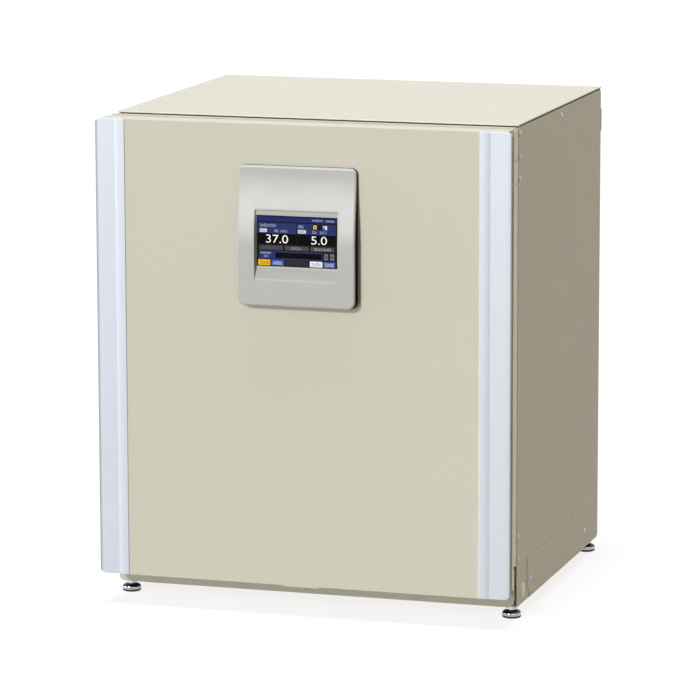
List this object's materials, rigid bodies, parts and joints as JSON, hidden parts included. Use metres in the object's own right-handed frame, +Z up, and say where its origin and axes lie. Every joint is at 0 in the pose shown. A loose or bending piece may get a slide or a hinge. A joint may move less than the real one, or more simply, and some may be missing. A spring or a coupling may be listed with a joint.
{
  "type": "laboratory incubator",
  "caption": "Free-standing insulated laboratory incubator with a touch-screen console on its outer door, an inner glass door, shelves, a humidity pan and levelling feet.",
  "frame": {"origin": "centre of the overall box, on the surface the levelling feet stand on", "axes": "+Z up, -Y out of the front door, +X to the right of a person facing the door"},
  "size_m": [0.77, 0.742, 0.89],
  "materials": {
    "cabinet_paint": "satin",
    "door_paint": "satin",
    "trim_blue": "satin",
    "console_silver": "satin",
    "bezel_silver": "satin",
    "screen_glass": "gloss",
    "circuit_green": "satin",
    "stainless": "satin",
    "steel": "satin",
    "chrome_foot": "polished",
    "foam": "matte",
    "frame_plastic": "satin",
    "rubber_grey": "matte",
    "silicone_white": "matte",
    "clear_glass": "gloss",
    "black_plastic": "matte",
    "grey_plastic": "matte",
    "beige_plastic": "satin",
    "heater_orange": "satin",
    "brass": "satin",
    "lamp_glass": "gloss",
    "motor_metal": "satin"
  },
  "bodies": {
    "cabinet": {"access_port_sleeve": "grey_plastic", "back_panel": "cabinet_paint", "base_front_panel": "cabinet_paint", "base_pan": "cabinet_paint", "chamber_liner": "stainless", "co2_sensor": "steel", "control_board": "circuit_green", "fan_motor": "motor_metal", "front_frame": "frame_plastic", "gas_barb": "brass", "gas_filter": "grey_plastic", "gas_tubes": "silicone_white", "gas_valve": "grey_plastic", "heater_mats": "heater_orange", "hinge_brackets": "steel", "hinge_pins": "steel", "inner_door_seal": "silicone_white", "inner_hinge_brackets": "steel", "insulation": "foam", "left_side_panel": "cabinet_paint", "panel_screws": "steel", "power_inlet": "black_plastic", "power_supply": "steel", "power_switch_frame": "black_plastic", "rear_duct": "stainless", "right_side_panel": "cabinet_paint", "shelf_supports": "stainless", "side_plugs": "beige_plastic", "side_service_cover": "cabinet_paint", "temperature_probe": "steel", "top_cover": "cabinet_paint", "uv_lamp": "lamp_glass", "uv_lamp_holders": "grey_plastic", "wall_spacers": "beige_plastic"},
    "outer_door": {"door_skin": "door_paint", "door_foam": "foam", "door_inner_panel": "door_paint", "door_trim_right": "trim_blue", "door_trim_left": "trim_blue", "door_gasket": "rubber_grey", "door_hinge_leaves": "steel", "console_housing": "console_silver", "console_bezel": "bezel_silver", "touch_screen": "screen_glass", "display_board": "circuit_green"},
    "inner_door": {"inner_door_glass": "clear_glass", "inner_door_hinges": "steel"},
    "inner_latch": {"inner_door_latch": "grey_plastic"},
    "fan": {"fan_wheel": "black_plastic"},
    "rocker": {"power_switch_rocker": "grey_plastic"},
    "shelf_a": {"shelf_1": "stainless"},
    "shelf_b": {"shelf_2": "stainless"},
    "shelf_c": {"shelf_3": "stainless"},
    "shelf_d": {"shelf_4": "stainless"},
    "pan": {"humidity_pan": "stainless"},
    "stopper": {"access_port_stopper": "silicone_white"},
    "foot_fl": {"foot_front_left": "chrome_foot"},
    "foot_fr": {"foot_front_right": "chrome_foot"},
    "foot_rl": {"foot_rear_left": "chrome_foot"},
    "foot_rr": {"foot_rear_right": "chrome_foot"}
  },
  "joints": [
    {"name": "outer_door_hinge", "type": "hinge", "parent": "cabinet", "child": "outer_door", "pos_m": [-0.379, -0.298, 0.46], "axis": [0, 0, -1], "range_deg": [0, 130]},
    {"name": "inner_door_hinge", "type": "hinge", "parent": "cabinet", "child": "inner_door", "pos_m": [-0.3315, -0.2885, 0.46], "axis": [0, 0, -1], "range_deg": [0, 120]},
    {"name": "inner_latch_turn", "type": "hinge", "parent": "inner_door", "child": "inner_latch", "pos_m": [0.312, -0.291, 0.46], "axis": [0, -1, 0], "range_deg": [0, 90]},
    {"name": "fan_spin", "type": "hinge", "parent": "cabinet", "child": "fan", "pos_m": [0, 0.249, 0.72], "axis": [0, 1, 0], "continuous": true},
    {"name": "power_rocker", "type": "hinge", "parent": "cabinet", "child": "rocker", "pos_m": [0.24, 0.346, 0.15], "axis": [1, 0, 0], "range_deg": [-16, 0]},
    {"name": "humidity_pan_slide", "type": "slide", "parent": "cabinet", "child": "pan", "axis": [0, -1, 0], "range_m": [0, 0.045]},
    {"name": "port_stopper_pull", "type": "slide", "parent": "cabinet", "child": "stopper", "axis": [0, 1, 0], "range_m": [0, 0.03]},
    {"name": "shelf_1_slide", "type": "slide", "parent": "cabinet", "child": "shelf_a", "axis": [0, -1, 0], "range_m": [0, 0.045]},
    {"name": "shelf_2_slide", "type": "slide", "parent": "cabinet", "child": "shelf_b", "axis": [0, -1, 0], "range_m": [0, 0.045]},
    {"name": "shelf_3_slide", "type": "slide", "parent": "cabinet", "child": "shelf_c", "axis": [0, -1, 0], "range_m": [0, 0.045]},
    {"name": "shelf_4_slide", "type": "slide", "parent": "cabinet", "child": "shelf_d", "axis": [0, -1, 0], "range_m": [0, 0.045]},
    {"name": "foot_front_left_turn", "type": "hinge", "parent": "cabinet", "child": "foot_fl", "pos_m": [-0.362, -0.2475, 0.02], "axis": [0, 0, 1], "range_deg": [0, 3600]},
    {"name": "foot_front_right_turn", "type": "hinge", "parent": "cabinet", "child": "foot_fr", "pos_m": [0.362, -0.2475, 0.02], "axis": [0, 0, 1], "range_deg": [0, 3600]},
    {"name": "foot_rear_left_turn", "type": "hinge", "parent": "cabinet", "child": "foot_rl", "pos_m": [-0.362, 0.307, 0.02], "axis": [0, 0, 1], "range_deg": [0, 3600]},
    {"name": "foot_rear_right_turn", "type": "hinge", "parent": "cabinet", "child": "foot_rr", "pos_m": [0.362, 0.307, 0.02], "axis": [0, 0, 1], "range_deg": [0, 3600]}
  ],
  "couplings": [
    {"joint": "inner_door_hinge", "follows": "outer_door_hinge", "ratio": 0.9}
  ]
}
